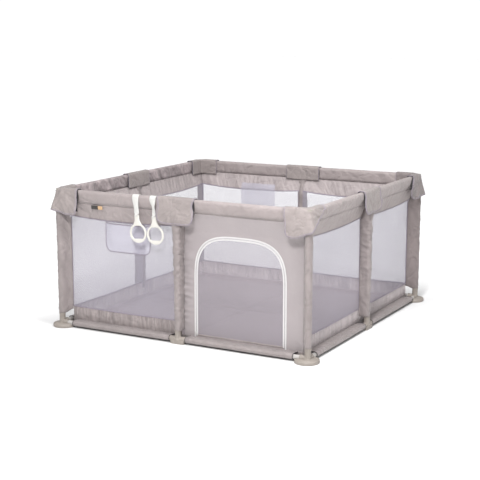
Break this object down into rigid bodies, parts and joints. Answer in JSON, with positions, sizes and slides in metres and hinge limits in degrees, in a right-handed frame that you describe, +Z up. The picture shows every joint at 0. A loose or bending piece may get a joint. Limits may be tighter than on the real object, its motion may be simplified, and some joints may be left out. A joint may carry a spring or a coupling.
{
  "type": "playpen",
  "caption": "Square tube-frame playpen with mesh walls, a zipped arch door, a padded floor mat, covered rail joints and pull-up rings.",
  "frame": {"origin": "on the floor, under the middle of the pen", "axes": "+Z up, -Y out through the side with the door, +X to the right seen from that side"},
  "size_m": [1.466, 1.466, 0.703],
  "materials": {
    "tube_frame": "satin powder coat",
    "foot_plastic": "fine moulded texture",
    "taupe_fabric": "woven polyester, plain weave",
    "wall_fabric": "pale mesh with woven polyester bands",
    "door_mesh": "fine knitted mesh",
    "pocket_mesh": "knitted mesh with bound edge",
    "mat_fabric": "padded woven polyester",
    "webbing": "flat woven webbing",
    "ring_plastic": "smooth moulded",
    "zip_metal": "nickel plated"
  },
  "bodies": {
    "pen": {"corner_foot_front_right": "foot_plastic", "corner_post_front_right": "tube_frame", "corner_connector_front_right": "foot_plastic", "corner_cover_front_right": "taupe_fabric", "corner_foot_back_right": "foot_plastic", "corner_post_back_right": "tube_frame", "corner_connector_back_right": "foot_plastic", "corner_cover_back_right": "taupe_fabric", "corner_foot_back_left": "foot_plastic", "corner_post_back_left": "tube_frame", "corner_connector_back_left": "foot_plastic", "corner_cover_back_left": "taupe_fabric", "corner_foot_front_left": "foot_plastic", "corner_post_front_left": "tube_frame", "corner_connector_front_left": "foot_plastic", "corner_cover_front_left": "taupe_fabric", "mid_foot_front": "foot_plastic", "mid_post_front": "tube_frame", "mid_connector_front": "foot_plastic", "mid_cover_front": "taupe_fabric", "base_rail_front_a": "tube_frame", "base_rail_front_b": "tube_frame", "top_rail_front_a": "tube_frame", "top_rail_front_b": "tube_frame", "wall_front": "wall_fabric", "mid_foot_right": "foot_plastic", "mid_post_right": "tube_frame", "mid_connector_right": "foot_plastic", "mid_cover_right": "taupe_fabric", "base_rail_right_a": "tube_frame", "base_rail_right_b": "tube_frame", "top_rail_right_a": "tube_frame", "top_rail_right_b": "tube_frame", "wall_right": "wall_fabric", "mid_foot_back": "foot_plastic", "mid_post_back": "tube_frame", "mid_connector_back": "foot_plastic", "mid_cover_back": "taupe_fabric", "base_rail_back_a": "tube_frame", "base_rail_back_b": "tube_frame", "top_rail_back_a": "tube_frame", "top_rail_back_b": "tube_frame", "wall_back": "wall_fabric", "mid_foot_left": "foot_plastic", "mid_post_left": "tube_frame", "mid_connector_left": "foot_plastic", "mid_cover_left": "taupe_fabric", "base_rail_left_a": "tube_frame", "base_rail_left_b": "tube_frame", "top_rail_left_a": "tube_frame", "top_rail_left_b": "tube_frame", "wall_left": "wall_fabric", "floor_mat": "mat_fabric", "front_pocket": "pocket_mesh"},
    "door": {"door_flap": "door_mesh"},
    "zip": {"zip_slider": "zip_metal"},
    "strap_left": {"pull_strap_left": "webbing"},
    "ring_left": {"pull_ring_left": "ring_plastic"},
    "strap_right": {"pull_strap_right": "webbing"},
    "ring_right": {"pull_ring_right": "ring_plastic"}
  },
  "joints": [
    {"name": "door_fold", "type": "hinge", "parent": "pen", "child": "door", "pos_m": [0.312, -0.643, 0.038], "axis": [1, 0, 0], "range_deg": [0, 90]},
    {"name": "zip_travel", "type": "slide", "parent": "pen", "child": "zip", "axis": [0, 0, 1], "range_m": [0, 0.24]},
    {"name": "strap_swing_left", "type": "hinge", "parent": "pen", "child": "strap_left", "pos_m": [-0.213, -0.683, 0.686], "axis": [-1, 0, 0], "range_deg": [0, 80]},
    {"name": "ring_swing_left", "type": "hinge", "parent": "strap_left", "child": "ring_left", "pos_m": [-0.213, -0.7005, 0.604], "axis": [-1, 0, 0], "range_deg": [-8, 80]},
    {"name": "strap_swing_right", "type": "hinge", "parent": "pen", "child": "strap_right", "pos_m": [-0.116, -0.683, 0.686], "axis": [-1, 0, 0], "range_deg": [0, 80]},
    {"name": "ring_swing_right", "type": "hinge", "parent": "strap_right", "child": "ring_right", "pos_m": [-0.116, -0.7005, 0.604], "axis": [-1, 0, 0], "range_deg": [-8, 80]}
  ]
}
